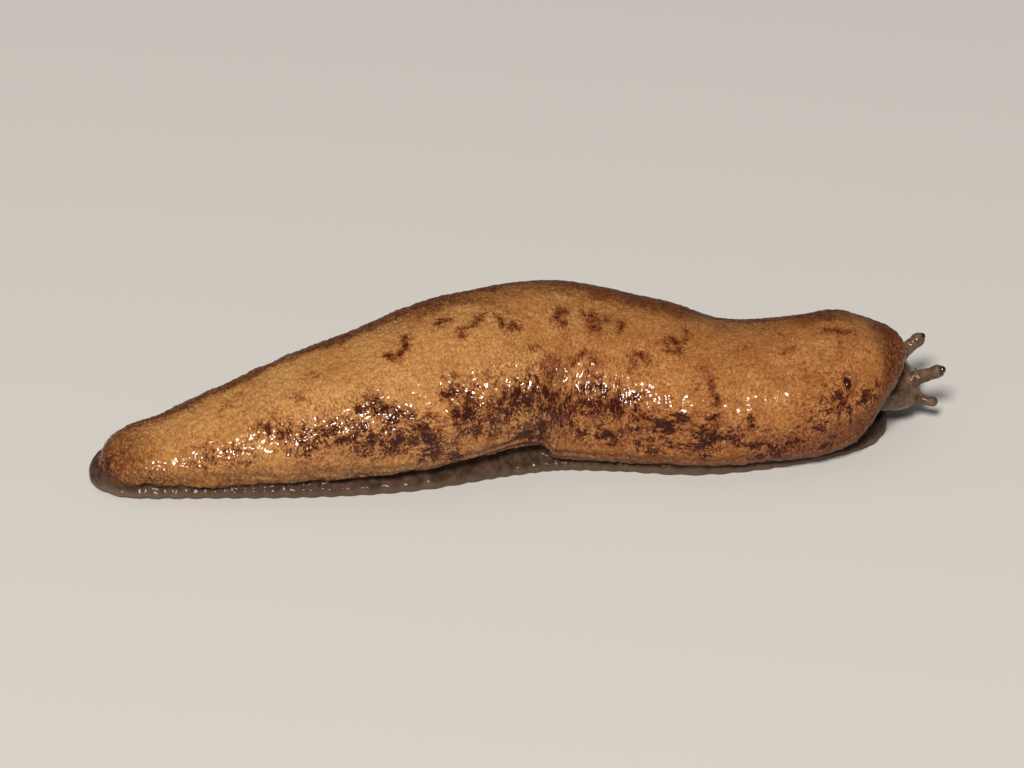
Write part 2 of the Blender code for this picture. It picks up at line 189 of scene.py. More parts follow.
# Brown with painted shade low on the front.
FRONT_AT, FRONT_UP = (42, 50), (3.8, 2.2)
LOW_FRONT_AT, LOW_FRONT_UP = (50, 54), (7.0, 4.5)
BACK_AT, BACK_REACH, BACK_DEPTH = 0.48, (0.5, 0.2), 2.5
BACK_EDGE_SIZE, BACK_EDGE_WARP = 1.6, 0.14
# Brown with painted shade on the back, where the light falls off.
BACK_SHADE_AND_BROWN = (
    (0, 0.6), (5, 0.45), (8, 0.1), (18, 0.1), (24, 0.8), (30, 0.5), (35, 0.9), (39, 0.9), (43.5, 0.3),
    (50, 0.7), (56, 0.8),
)
# Brown with painted shade along the crest, where the light falls off.
CREST_SHADE_AND_BROWN, CREST_AT, CREST_REACH = 1.1, 0.6, (0.4, 0.14)
BROWN_PATCH_SIZE, BROWN_PATCHINESS, MOST_BROWN_AND_SHADE = 1.5, 0.25, 1.15

# The brown of the pore's lip, and of the clear skin near dark pigment.
PORE_LIP_BROWN = 0.9
STAIN, STAIN_FROM = 0.35, (0.05, 0.6)

# Seeds of the noise, which also uses the numbers just after its own. Warped noise takes longer steps.
GRANULE_SEED, RIDGE_SEED, LUMP_SEED, SWELL_SEED, FINE_SEED = 11, 41, 111, 51, 71
HEAD_GRANULE_SEED, FOOT_GRANULE_SEED = 31, 61
FOLD_WAVE_SEED, FOLD_STRENGTH_SEED = 81, 91
BAND_PATCH_SEED, BROWN_PATCH_SEED, BACK_EDGE_SEED = 301, 401, 411
WARP_SEED_STEP = 10

# The dark pigment of the right flank and the back, where the photograph shows it, and painted shade at the
# tail's end.
# Each stroke is (radius in millimetres, strength, pixels of the photograph that it runs through).
PORE_PIXEL = (848, 383)
BLOTCHES = (
    (0.28, 1.0, (404, 336), (405, 349)),
    (0.26, 0.9, (405, 349), (395, 359), (388, 355)),
    (0.30, 1.0, (438, 325), (447, 320)),
    (0.28, 0.9, (461, 337), (463, 330), (473, 325), (480, 317), (485, 314)),
    (0.24, 0.9, (495, 315), (500, 320), (502, 324)),
    (0.20, 0.6, (506, 310), (512, 313)),
    (0.40, 1.0, (512, 325), (513, 326)),
    (0.32, 1.0, (563, 311), (557, 318), (562, 325)),
    (0.45, 0.5, (491, 300), (494, 302)),
    (0.30, 0.7, (456, 302), (467, 300)),
    (0.30, 0.5, (532, 347), (541, 348)),
    (0.60, 0.75, (552, 362), (547, 368), (560, 375)),
    (0.70, 0.35, (493, 382), (502, 375)),
    (0.22, 0.9, (452, 375), (453, 376)),
    (0.45, 1.0, (592, 317), (595, 327)),
    (0.25, 0.6, (581, 311), (586, 316)),
    (0.26, 0.7, (605, 317), (607, 320)),
    (0.24, 0.7, (622, 322), (620, 331)),
    (0.26, 0.8, (673, 338), (665, 345), (668, 353), (677, 354), (680, 345), (673, 338)),
    (0.22, 0.7, (688, 332), (685, 341)),
    (0.18, 0.9, (571, 357), (573, 365)),
    (0.28, 0.7, (578, 360), (585, 352), (597, 361)),
    (0.30, 0.75, (632, 370), (633, 354), (640, 355), (647, 361)),
    (0.30, 0.8, (704, 368), (710, 378), (713, 392), (716, 403)),
    (0.22, 0.7, (696, 386), (697, 388)),
    (0.16, 0.7, (723, 325), (724, 326)),
    (0.20, 0.5, (744, 347), (745, 349)),
    (0.22, 0.6, (783, 353), (792, 347)),
    (0.24, 0.5, (776, 330), (780, 334)),
    (0.30, 0.4, (801, 367), (803, 369)),
    (0.34, 0.9, (828, 330), (837, 331), (847, 331)),
    (0.16, 0.5, (838, 335), (841, 350), (840, 362)),
    (0.16, 0.7, (811, 412), (815, 422), (820, 410)),
    (0.35, 0.4, (841, 381), (843, 383)),
    (0.40, 0.5, (245, 379), (252, 377)),
    (0.40, 0.6, (190, 407), (198, 403)),
    (0.35, 0.5, (156, 422), (164, 418)),
    (0.50, 0.35, (228, 405), (234, 398)),
    (0.40, 0.35, (292, 396), (299, 397)),
    (0.35, 0.35, (309, 374), (315, 376)),
    (0.50, 0.7, (598, 293), (608, 298)),
    (0.55, 0.7, (634, 301), (645, 301)),
    (0.40, 0.6, (671, 305), (676, 307)),
    (0.40, 0.6, (569, 287), (574, 288)),
)
BAND = (
    # Painted shade at the tail's end, drawn as a dark stroke.
    (1.0, 0.8, (101, 452), (104, 470)),
    (0.7, 0.45, (198, 458), (223, 458), (246, 458)),
    (0.7, 0.65, (270, 429), (282, 435), (307, 437), (325, 431)),
    (0.8, 0.5, (298, 447), (330, 445)),
    (0.55, 0.95, (371, 406), (380, 411), (390, 418), (403, 425)),
    (0.9, 0.75, (325, 433), (348, 436), (368, 441), (393, 438), (427, 436)),
    (0.8, 0.85, (427, 436), (443, 450), (452, 455)),
    (0.7, 0.8, (427, 455), (443, 452)),
    (0.5, 0.9, (451, 388), (448, 396)),
    (0.6, 0.85, (457, 414), (461, 427)),
    (0.8, 0.85, (466, 403), (477, 425)),
    (0.9, 1.0, (493, 413), (507, 411), (522, 399), (543, 396)),
    (1.1, 1.0, (543, 397), (557, 410), (552, 424)),
    (0.8, 0.8, (523, 433), (541, 435)),
    (0.8, 0.5, (493, 432), (510, 434)),
    (0.5, 1.0, (582, 386), (596, 385)),
    (1.0, 0.9, (560, 405), (590, 407), (607, 408), (620, 408)),
    (0.9, 0.95, (620, 408), (634, 413), (640, 425), (654, 424)),
    (0.8, 1.0, (668, 428), (682, 429), (677, 437)),
    (0.8, 1.0, (682, 430), (707, 436), (715, 432)),
    (0.7, 0.85, (707, 437), (713, 447)),
    (0.45, 0.8, (577, 432), (584, 437)),
    (0.5, 0.9, (602, 434), (612, 440)),
    (0.6, 0.6, (618, 436), (640, 442)),
    (0.6, 0.7, (640, 444), (655, 449)),
    (0.6, 0.75, (682, 448), (700, 456)),
    (0.7, 0.7, (724, 437), (750, 441)),
    (0.5, 0.55, (753, 424), (758, 430)),
    (0.9, 0.8, (762, 452), (786, 446), (800, 438)),
    (0.9, 0.75, (813, 432), (828, 437)),
    (1.3, 0.6, (838, 404), (843, 414), (833, 424)),
    (0.6, 0.8, (868, 396), (865, 404)),
    (0.5, 0.6, (875, 383), (882, 386)),
)


# The photograph shows colours brightly lit, so each is dimmed before the lights here brighten it again.
DIMMED = 0.77


def srgb(*channels):
    """A linear colour from one read off the photograph, 0 to 255."""
    shares = [channel / 255 for channel in channels]
    linear = [s / 12.92 if s <= 0.04045 else ((s + 0.055) / 1.055) ** 2.4 for s in shares]
    return tuple(DIMMED * value for value in linear) + (1.0,)


TAN = srgb(213, 163, 100)
TAN_DULL = srgb(200, 146, 84)
TAN_FRONT = srgb(196, 142, 84)
# Brown that also paints shade low on the mantle, in its bay and on its back.
TAN_BROWN_AND_SHADE = srgb(84, 36, 14)
STIPPLE = srgb(138, 78, 36)
FLUSH = srgb(156, 94, 48)
BROWN = srgb(118, 60, 30)
DARK_BROWN = srgb(50, 15, 5)
# The foot's two colours are darker than its own greyish cream: painted shade, as under the mantle.
FOOT_SHADE_COLOUR = srgb(88, 66, 54)
FOOT_SHADE_DARK = srgb(56, 40, 32)
SOLE_COLOUR = srgb(120, 98, 80)
HEAD_COLOUR = srgb(128, 98, 76)
HEAD_DARK = srgb(90, 64, 50)
# Painted shade in the creases of the head.
HEAD_CREASE_SHADE = srgb(58, 40, 31)
# Painted shade in the pore and the mouth.
HOLLOW_SHADE_COLOUR = srgb(66, 28, 17)
EYE_COLOUR = srgb(12, 9, 8)
EYE_PALE = srgb(30, 22, 18)
FLOOR_COLOUR = srgb(220, 218, 215)
WORLD_COLOUR = srgb(230, 228, 224)

# The noise in the colours: its size in millimetres, layers and roughness. A stretch below 1 lengthens it, and
# a spread is how far from its middle value it is still graded.
FIBRE_NOISE, FIBRE_STRETCH = (0.08, 3.0, 0.6), (1.0, 0.5, 0.5)
NET_NOISE, NET_STRETCH, NET_SPREAD = (0.08, 3.0, 0.95), (1.0, 0.65, 0.65), 0.1
MOTTLE_NOISE = (0.32, 3.0, 0.6)
BROAD_NOISE = (2.5, 2.0, 0.5)
FLUSH_NOISE, FLUSH_SPREAD = (0.9, 4.0, 0.75), 0.14
PLAIN_SPREAD = 0.17

# The mantle's clear colours: pairs of x where they change, and shares as rising() takes them.
TAN_FRONT_FROM, TOWARDS_FRONT = (27.0, 40.0), (20.0, 36.0)
FLUSH_SHARE, STIPPLE_SHARE, BROWN_AND_SHADE_SHARE = (0.2, 0.4), (0.6, 0.2), (0.55, 0.7)
# The creases between the granules darken the net: painted shade.
CREASE_SHADE_SHARE, CREASE_FROM = 0.2, (0.75, 0.4)

# The raggedness of the dark pigment, which grows with the pigment, and where its two colours come in.
RAGGED_FIBRES, RAGGED_MOTTLE, RAGGED_NET, RAGGED_MIDDLE = 0.6, 0.9, 0.8, 1.15
RAGGED_GAIN, DARK_GAIN = (0.2, 1.6), 0.95
BROWN_FROM, DARK_FROM = (0.0, 0.75), (0.5, 1.15)

# The foot's sole by height, the head's tubercles and the painted shade in their creases, the painted shade in
# the hollows and the eyes' cloudiness.
SOLE_FROM = (0.9, 0.1)
TUBERCLE_SIZE, TUBERCLE_STRETCH, TUBERCLE_FROM = 0.22, (0.7, 1.0, 1.0), (0.0, 0.5)
HEAD_CREASE_SHARE, HEAD_CREASE_FROM = 0.5, (0.2, 0.0)
HOLLOW_FROM = (0.0, 0.5)
EYE_CLOUD_SIZE, EYE_CLOUD_FROM = 0.05, (0.4, 0.7)

# The fine bumps' depths, in metres, the size of the bumps in the wet film, and the film's weight.
SKIN_BUMP, TUBERCLE_BUMP, FILM_BUMP = 0.00001, 0.00003, 0.00003
FILM_SIZE, FILM_WEIGHT = 0.25, (0.12, 0.73)

# The lights: name, azimuth, elevation, distance, size, power and colour.
WARM = (1.0, 0.95, 0.88)
LIGHTS = (
    ("key", -18.0, 43.0, 1.00, 0.18, 14.1, WARM),
    ("overhead", 180.0, 75.0, 0.60, 0.60, 0.3, WARM),
)
WORLD_STRENGTH = 0.22

# The solids that the skin stands for.
FLESH = (
    "mantle_tail", "mantle_rear", "mantle_middle", "mantle_front", "foot_tail", "foot_rear", "foot_middle",
    "foot_front", "neck", "head", "tentacle_upper_right", "tentacle_upper_left", "tentacle_lower_right",
    "tentacle_lower_left",
)


def through(points, x):
    """The value at x, or at each x of an array, of a smooth curve through the points."""
    at, value = np.array(points, dtype=float).T
    inner = (value[2:] - value[:-2]) / (at[2:] - at[:-2])
    first = (value[1] - value[0]) / (at[1] - at[0])
    last = (value[-1] - value[-2]) / (at[-1] - at[-2])
    slope = np.concatenate(([first], inner, [last]))
    x = np.clip(x, at[0], at[-1])
    k = np.clip(np.searchsorted(at, x, side="right") - 1, 0, len(at) - 2)
    run = at[k + 1] - at[k]
    t = (x - at[k]) / run
    return (
        (2 * t**3 - 3 * t**2 + 1) * value[k]
        + (t**3 - 2 * t**2 + t) * run * slope[k]
        + (3 * t**2 - 2 * t**3) * value[k + 1]
        + (t**3 - t**2) * run * slope[k + 1]
    )


def rounding(distance, radius):
    """From 0 at an end to 1 at the rounding's radius from it, as a quarter of an ellipse."""
    share = np.clip(distance / radius, 0, 1)
    return np.sqrt(1 - (1 - share) ** 2)


def signed_power(value, power):
    return np.sign(value) * np.abs(value) ** power


def smooth_step(low, high, value):
    """0 up to low, 1 from high on, smooth between them. It falls instead where low is above high."""
    share = np.clip((value - low) / (high - low), 0, 1)
    return share * share * (3 - 2 * share)


def bell(value, middle, reach):
    """1 in the middle, falling smoothly to 0 on both sides."""
    return np.exp(-(((value - middle) / reach) ** 2))


def across(x):
    """The unit vector to the slug's left at x, as two arrays."""
    nearby = 0.05
    slope = (through(BEND, x + nearby) - through(BEND, x - nearby)) / (2 * nearby)
    size = np.sqrt(1 + slope**2)
    return -slope / size, 1 / size


def to_world(x, side, up):
    """Points beside the bent midline."""
    ax, ay = across(x)
    return np.stack(np.broadcast_arrays(x + ax * side, through(BEND, x) + ay * side, up), axis=-1)


def to_body(points):
    """x, side and up of each point: the inverse of to_world()."""
    x = points[:, 0].copy()
    for _ in range(INVERSE_ROUNDS):
        ax, ay = across(x)
        off_x, off_y = points[:, 0] - x, points[:, 1] - through(BEND, x)
        x += ay * (off_x * ay - off_y * ax)
    ax, ay = across(x)
    side = (points[:, 0] - x) * ax + (points[:, 1] - through(BEND, x)) * ay
    return x, side, points[:, 2]


def eye_direction(side):
    lean = np.array((UPPER_LEAN[0], side * UPPER_LEAN[1], UPPER_LEAN[2]))
    return lean / np.linalg.norm(lean)


def eye_centre(side):
    root = to_world(UPPER_ROOT[0], side * UPPER_ROOT[1], UPPER_ROOT[2])
    return root + eye_direction(side) * (UPPER_LENGTH - EYE_INSET)


def frame_origin():
    """Where the frame's origin is in the body's millimetres, from where the frame has the right eye."""
    low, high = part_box("eye_right")
    return eye_centre(-1) - np.array((low + high) / 2) / MM


ORIGIN = frame_origin()


def to_metres(points):
    return (np.asarray(points) - ORIGIN) * MM


# The camera's view, and directions from the slug


def towards(azimuth, elevation):
    """The direction from the slug to a camera or light at these angles, in degrees."""
    turn, rise = math.radians(azimuth), math.radians(elevation)
    flat = math.cos(rise)
    return Vector((math.sin(turn) * flat, -math.cos(turn) * flat, math.sin(rise)))


def aim(obj, azimuth, elevation, distance):
    """Adds a camera or light to the scene, at the distance from the slug and facing it."""
    back = towards(azimuth, elevation)
    obj.location = Vector(AIM) + back * distance
    obj.rotation_euler = (-back).to_track_quat("-Z", "Y").to_euler()
    bpy.context.scene.collection.objects.link(obj)


def add_camera():
    data = bpy.data.cameras.new("camera")
    data.lens, data.sensor_width = LENS, SENSOR
    data.clip_start, data.clip_end = 0.01, 10.0
    camera = bpy.data.objects.new("camera", data)
    aim(camera, AZIMUTH, ELEVATION, DISTANCE)
    bpy.context.scene.camera = camera


def seen_at(pixel, tree):
    """The point of the skin, in the body's millimetres, that the photograph shows at the pixel."""
    back = towards(AZIMUTH, ELEVATION)
    turn = (-back).to_track_quat("-Z", "Y")
    width, height = IMAGE
    span = SENSOR / LENS
    direction = turn @ Vector((
        (pixel[0] - width / 2) / width * span,
        (height / 2 - pixel[1]) / width * span,
        -1,
    ))
    start = (Vector(AIM) + back * DISTANCE) / MM + Vector(ORIGIN)
    hit, _, _, _ = tree.ray_cast(start, direction.normalized())
    if hit is None:
        hit, _, _, _ = tree.find_nearest(start + direction.normalized() * (DISTANCE / MM))
    return np.array(hit)


# Noise, the same every time


def cell_number(cell, seed):
    """A number from 0 to 1 for each cell of a grid. The large numbers only mix the bits."""
    mixed = cell[..., 0] * 73856093 ^ cell[..., 1] * 19349663 ^ cell[..., 2] * 83492791 ^ seed * 26544357
    mixed = (mixed & 0xFFFFFFFF) * 1274126177 & 0xFFFFFFFF
    mixed = (mixed ^ mixed >> 15) * 1103515245 & 0xFFFFFFFF
    return (mixed ^ mixed >> 13 & 0xFFFFFF) % 65536 / 65535


def corners(low, high):
    steps = range(low, high + 1)
    return [np.array((i, j, k)) for i in steps for j in steps for k in steps]


def soft_noise(points, seed):
    """Smooth noise from -1 to 1, its features about one unit across."""
    cell = np.floor(points).astype(np.int64)
    part = points - cell
    part = part * part * (3 - 2 * part)
    total = np.zeros(len(points))
    for corner in corners(0, 1):
        weight = np.prod(np.where(corner == 1, part, 1 - part), axis=1)
        total += weight * cell_number(cell + corner, seed)
    return 2 * total - 1


def layered_noise(points, seed, layers=3):
    """Noise from -1 to 1, each layer half the size and half the strength of the one before."""
    return sum(soft_noise(points * 2**k, seed + k) / 2**k for k in range(layers)) / (2 - 2 ** (1 - layers))


def granules(points, seed):
    """Domes side by side, with creases between them: 1 on top of each, and lower by its distance squared."""
    cell = np.floor(points).astype(np.int64)
    nearest = np.full(len(points), np.inf)
    for corner in corners(-1, 1):
        near_cell = cell + corner
        centre = near_cell + np.stack([cell_number(near_cell, seed + axis) for axis in range(3)], axis=1)
        nearest = np.minimum(nearest, np.sum((points - centre) ** 2, axis=1))
    return 1 - nearest


# Forms


def mantle_section(x, angle):
    """Side and height on the mantle.

    Angle 0 is its left edge, a quarter turn its back and a half turn its right edge.
    """
    behind, ahead = x - MANTLE_REAR, MANTLE_FRONT - x
    at_rear = behind < ahead
    close = np.where(at_rear, rounding(behind, REAR_ROUNDING), rounding(ahead, FRONT_ROUNDING))
    tip = np.where(at_rear, REAR_TIP_HEIGHT, FRONT_TIP_HEIGHT)
    top = tip + (through(CREST, x) - tip) * close
    notch = NOTCH_DEPTH * bell(x, NOTCH_AT, NOTCH_REACH)
    wide, high = np.cos(angle), np.sin(angle)
    rim = np.where(wide > 0, through(RIM_LEFT, x), through(RIM_RIGHT, x) + notch)
    low = tip - (tip - rim) * close
    middle = low + WIDEST_SHARE * (top - low)
    power = 2 / np.where(high > 0, DOME_POWER, UNDER_POWER)
    reach = np.where(high > 0, top - middle, middle - low)
    side = through(HALF_WIDTH, x) * close * signed_power(wide, power)
    return side, middle + reach * signed_power(high, power)


def foot_section(x, share):
    """Side and height on the foot.

    share goes round it, from 0 to 1, from the left of the sole over its top.
    """
    spread = TAIL_SPREAD * np.exp(-x / TAIL_SPREAD_REACH)
    full = through(FOOT_SHARE, x) * through(HALF_WIDTH, x) + spread
    half = full * np.minimum(rounding(x, FOOT_ROUNDING), rounding(FOOT_FRONT - x, FOOT_ROUNDING))
    closing = np.minimum(1.0, half / CLOSING_WIDTH)
    top = through(FOOT_TOP, x) * (CLOSED_SHARE + (1 - CLOSED_SHARE) * closing)
    furrow = FURROW_DEPTH * (0.5 + 0.5 * np.cos(2 * np.pi * x / FURROW_PITCH)) ** 2 * closing
    climb = 1 - np.abs(2 * share - 1)
    inset = np.minimum(SOLE_INSET, SOLE_INSET_LIMIT * half) * smooth_step(*SOLE_CLIMB, climb)
    wide = half * through(FOOT_WIDE, climb) - inset - furrow * smooth_step(*FURROW_CLIMB, climb)
    return np.where(share < 0.5, wide, -wide), top * through(FOOT_HIGH, climb)


def head_section(x, angle, grow=0.0):
    """Side and height on the head, with the mantle's angles. grow makes it larger all round."""
    close = rounding(SNOUT + grow - x, SNOUT_ROUNDING)
    half = through(HEAD_HALF_WIDTH, x) * close + grow
    top = SNOUT_HEIGHT + (through(HEAD_TOP, x) - SNOUT_HEIGHT) * close + grow
    low = SNOUT_HEIGHT - (SNOUT_HEIGHT - through(HEAD_UNDERSIDE, x)) * close - grow
    side = half * signed_power(np.cos(angle), HEAD_SQUARENESS)
    return side, 0.5 * (top + low) + 0.5 * (top - low) * signed_power(np.sin(angle), HEAD_SQUARENESS)


def new_object(name, verts, faces):
    mesh = bpy.data.meshes.new(name)
    mesh.from_pydata([tuple(v) for v in verts], [], faces)
    obj = bpy.data.objects.new(name, mesh)
    bpy.context.scene.collection.objects.link(obj)
    return obj


def loft(name, rings):
    """A closed mesh through rings of points, with a flat cap on the first and the last."""
    count, sides = rings.shape[:2]
    faces = []
    for r in range(count - 1):
        for k in range(sides):
            n = (k + 1) % sides
            faces.append((r * sides + k, r * sides + n, (r + 1) * sides + n, (r + 1) * sides + k))
    faces.append(tuple(reversed(range(sides))))
    faces.append(tuple(range((count - 1) * sides, count * sides)))
    obj = new_object(name, rings.reshape(-1, 3), faces)
    bm = bmesh.new()
    bm.from_mesh(obj.data)
    bmesh.ops.recalc_face_normals(bm, faces=bm.faces)
    bm.to_mesh(obj.data)
    bm.free()
    return obj


def places(start, end, step, rear_rounding=0.0, front_rounding=0.0):
    """Distances along the body, closer together towards an end that is rounded off."""
    turns = 1 - np.cos(np.radians(ROUNDING_ANGLES))
    inner = np.arange(start + rear_rounding, end - front_rounding, step)
    parts = [inner]
    if rear_rounding:
        parts.insert(0, start + rear_rounding * turns)
    if front_rounding:
        parts.append(end - front_rounding * turns[::-1])
    else:
        parts.append([end])
    return np.concatenate(parts)


def body_loft(name, section, x, turn, **more):
    """A loft along the body. turn goes round each ring, as the section takes it."""
    side, up = section(x[:, None], turn[None, :], **more)
    return loft(name, to_world(x[:, None], side, up))


def ring_angles(sides):
    return 2 * np.pi * (np.arange(sides) + 0.5) / sides


def ellipsoid(name, centre, radii):
    obj = new_object(name, [], [])
    bm = bmesh.new()
    bmesh.ops.create_uvsphere(bm, u_segments=32, v_segments=20, radius=1)
    shape = Matrix.Translation(Vector(centre)) @ Matrix.Diagonal((*radii, 1))
    bmesh.ops.transform(bm, matrix=shape, verts=bm.verts)
    bm.to_mesh(obj.data)
    bm.free()
    return obj


def tentacle(name, root, lean, length, radius, side):
    """A stub with a flared root, tapering, then swelling a little at its round tip."""
    start = to_world(root[0], side * root[1], root[2])
    direction = Vector((lean[0], side * lean[1], lean[2])).normalized()
    turn = np.array(direction.to_track_quat("Z", "Y").to_matrix())
    angle = ring_angles(STUB_SIDES)
    far = np.linspace(STUB_WIDE[0][0], 1, STUB_RINGS)
    wide = radius * through(STUB_WIDE, far)
    ring = np.stack(np.broadcast_arrays(
        wide[:, None] * np.cos(angle), wide[:, None] * np.sin(angle), length * far[:, None]
    ), axis=-1)
    return loft(name, start + ring @ turn.T)


def applied(obj):
    """Puts the object's modifiers into its mesh."""
    graph = bpy.context.evaluated_depsgraph_get()
    mesh = bpy.data.meshes.new_from_object(obj.evaluated_get(graph))
    obj.modifiers.clear()
    obj.data = mesh


def cut(obj, cutter):
    modifier = obj.modifiers.new("cut", "BOOLEAN")
    modifier.operation, modifier.solver, modifier.object = "DIFFERENCE", "EXACT", cutter
    applied(obj)
    bpy.data.objects.remove(cutter)


def tree_of(objs):
    """A tree of the objects' faces, to find the nearest place on them."""
    verts, faces = [], []
    for obj in objs:
        start = len(verts)
        verts += [v.co for v in obj.data.vertices]
        faces += [[start + k for k in p.vertices] for p in obj.data.polygons]
    return BVHTree.FromPolygons(verts, faces)


def head_space():
    """The room for the head, which the mantle and the foot leave open."""
    x = places(HEAD_SPACE_REAR, SNOUT + HEAD_GAP, HEAD_SPACE_STEP, 0, SNOUT_ROUNDING)
    return body_loft("head_space", head_section, x, ring_angles(HEAD_SIDES), grow=HEAD_GAP)


def make_forms():
    """The mantle, the foot and the head with its tentacles, as closed lofts in the body's millimetres."""
    x = places(MANTLE_REAR, MANTLE_FRONT, MANTLE_STEP, REAR_ROUNDING, FRONT_ROUNDING)
    mantle = body_loft("mantle", mantle_section, x, ring_angles(MANTLE_SIDES))
    x = places(0, FOOT_FRONT, FURROW_PITCH / RINGS_PER_FURROW, FOOT_ROUNDING, FOOT_ROUNDING)
    foot = body_loft("foot", foot_section, x, np.linspace(0, 1, FOOT_POINTS))
    for form in (mantle, foot):
        cut(form, head_space())
    x = places(NECK_ROOT, SNOUT, HEAD_STEP, 0, SNOUT_ROUNDING)
    head = body_loft("head", head_section, x, ring_angles(HEAD_SIDES))
    parts = []
    for side in (-1, 1):
        parts.append(ellipsoid("lip", to_world(SNOUT - LIP_INSET, side * LIP_SIDE, MOUTH_HEIGHT), LIP_RADII))
        parts.append(tentacle("upper", UPPER_ROOT, UPPER_LEAN, UPPER_LENGTH, UPPER_RADIUS, side))
        parts.append(tentacle("lower", LOWER_ROOT, LOWER_LEAN, LOWER_LENGTH, LOWER_RADIUS, side))
    return mantle, foot, [head, *parts]


def fuse(forms):
    """One closed skin over all the forms."""
    skin = new_object("slug_skin", [], [])
    bm = bmesh.new()
    for form in forms:
        bm.from_mesh(form.data)
    bm.to_mesh(skin.data)
    bm.free()
    remesh = skin.modifiers.new("fuse", "REMESH")
    remesh.mode, remesh.voxel_size, remesh.adaptivity = "VOXEL", VOXEL, 0.0
    soften = skin.modifiers.new("soften", "SMOOTH")
    soften.factor, soften.iterations = SOFTENING, SMOOTHING
    applied(skin)
    for form in forms:
        bpy.data.objects.remove(form)
    return skin


# The surface of the skin


def read_vectors(items, key):
    found = np.empty(len(items) * 3, dtype=np.float32)
    items.foreach_get(key, found)
    return found.reshape(-1, 3).astype(float)


def distances(tree, points):
    return np.array([tree.find_nearest(Vector(point))[3] for point in points])


def regions(points, trees):
    """How much each point belongs to the mantle, the foot and the head, from 0 to 1."""
    mantle, foot, head = (distances(tree, points) for tree in trees)
    on_mantle = smooth_step(-REGION_BLEND, REGION_BLEND, np.minimum(foot, head) - mantle)
    on_head = smooth_step(-REGION_BLEND, REGION_BLEND, np.minimum(foot, mantle) - head)
    return on_mantle, np.clip(1 - on_mantle - on_head, 0, 1), on_head


def stroke_strength(points, route, radius):
    """1 on the route, falling to 0 beside it, with a faint wide halo."""
    nearest = np.full(len(points), np.inf)
    ends = route[1:] if len(route) > 1 else route
    for start, end in zip(route, ends):
        run = end - start
        share = np.clip((points - start) @ run / max(run @ run, TINY), 0, 1)
        nearest = np.minimum(nearest, np.linalg.norm(points - start - share[:, None] * run, axis=1))
    core, halo = bell(nearest, 0, radius), bell(nearest, 0, HALO_REACH * radius)
    return (1 - HALO) * core + HALO * halo


def warped(points, size, reach, seed):
    """The points, each shifted by noise, so that what is drawn by distance gets ragged edges."""
    seeds = [seed + WARP_SEED_STEP * axis for axis in range(3)]
    shift = np.stack([layered_noise(points / size, axis_seed) for axis_seed in seeds], axis=1)
    return points + reach * shift


def mirrored(route):
    """The route on the other flank, shifted so that the two flanks differ, as in life."""
    x, side, up = to_body(route)
    return to_world(x + MIRROR_SHIFT, -side, up)


def in_view(route, tree):
    back = towards(AZIMUTH, ELEVATION)
    return any(tree.find_nearest(Vector(point))[1].dot(back) > 0 for point in route)


def drawn(strokes, points, tree, warp):
    """How strongly the strokes colour each point. The hidden flank mirrors what the photograph shows."""
    moved = warped(points, *warp)
    strength = np.zeros(len(points))
    for radius, force, *pixels in strokes:
        route = np.array([seen_at(pixel, tree) for pixel in pixels])
        strength = np.maximum(strength, force * stroke_strength(moved, route, radius))
        copy = mirrored(route)
        if not in_view(copy, tree):
            strength = np.maximum(strength, force * stroke_strength(moved, copy, radius))
    return strength


def pigment(points, tree):
    """How dense the dark pigment is, with painted shade at the tail's end, and where it is solid: the
    blotches are, and the band is patchy.
    """
    patchy = 1 + BAND_PATCHINESS * layered_noise(points / BAND_PATCH_SIZE, BAND_PATCH_SEED)
    band = drawn(BAND, points, tree, BAND_WARP) * patchy
    blotches = BLOTCH_SHARE * drawn(BLOTCHES, points, tree, BLOTCH_WARP)
    return np.clip(np.maximum(blotches, band), 0, MOST_DARK), smooth_step(*SOLID_FROM, blotches - band)


def pressed_in(points, centre, inward, axes, radii, depth, rim=0.0):
    """A hollow: each point moved inward, and how much it is in the hollow and on its lip, from 0 to 1."""
    off = points - centre
    away = np.sqrt(sum((off @ np.array(axis) / radius) ** 2 for axis, radius in zip(axes, radii)))
    near = np.abs(off @ inward) < HOLLOW_REACH
    hollow = np.where(near, 1 - smooth_step(*HOLLOW_SLOPE, away), 0)
    lip = np.where(near, bell(away, HOLLOW_LIP, HOLLOW_LIP_REACH), 0)
    return points + (depth * hollow - rim * lip)[:, None] * inward, hollow, lip


def around(x, side, up):
    """The distance round the body, over the back from its right edge to its left."""
    top, rim = through(CREST, x), through(RIM_RIGHT, x)
    axis = rim + WIDEST_SHARE * (top - rim)
    return np.arctan2(up - axis, -side) * 0.5 * (through(HALF_WIDTH, x) + top - axis)


def above_rim(local):
    x, side, up = local.T
    return up - np.where(side < 0, through(RIM_RIGHT, x), through(RIM_LEFT, x))


def rim_folds(local):
    """Fine creases that run along the mantle above its rim, from 0 to 1."""
    x = local[:, 0]
    height = above_rim(local) + FOLD_WAVE * soft_noise(local / FOLD_WAVE_SIZE, FOLD_WAVE_SEED)
    depth = sum(bell(height, at, FOLD_WIDTH) for at in FOLD_HEIGHTS)
    uneven = (1 - FOLD_EVENNESS) * soft_noise(local / FOLD_WAVE_SIZE, FOLD_STRENGTH_SEED)
    return depth * through(FOLD_STRENGTH, x) * (FOLD_EVENNESS + uneven)


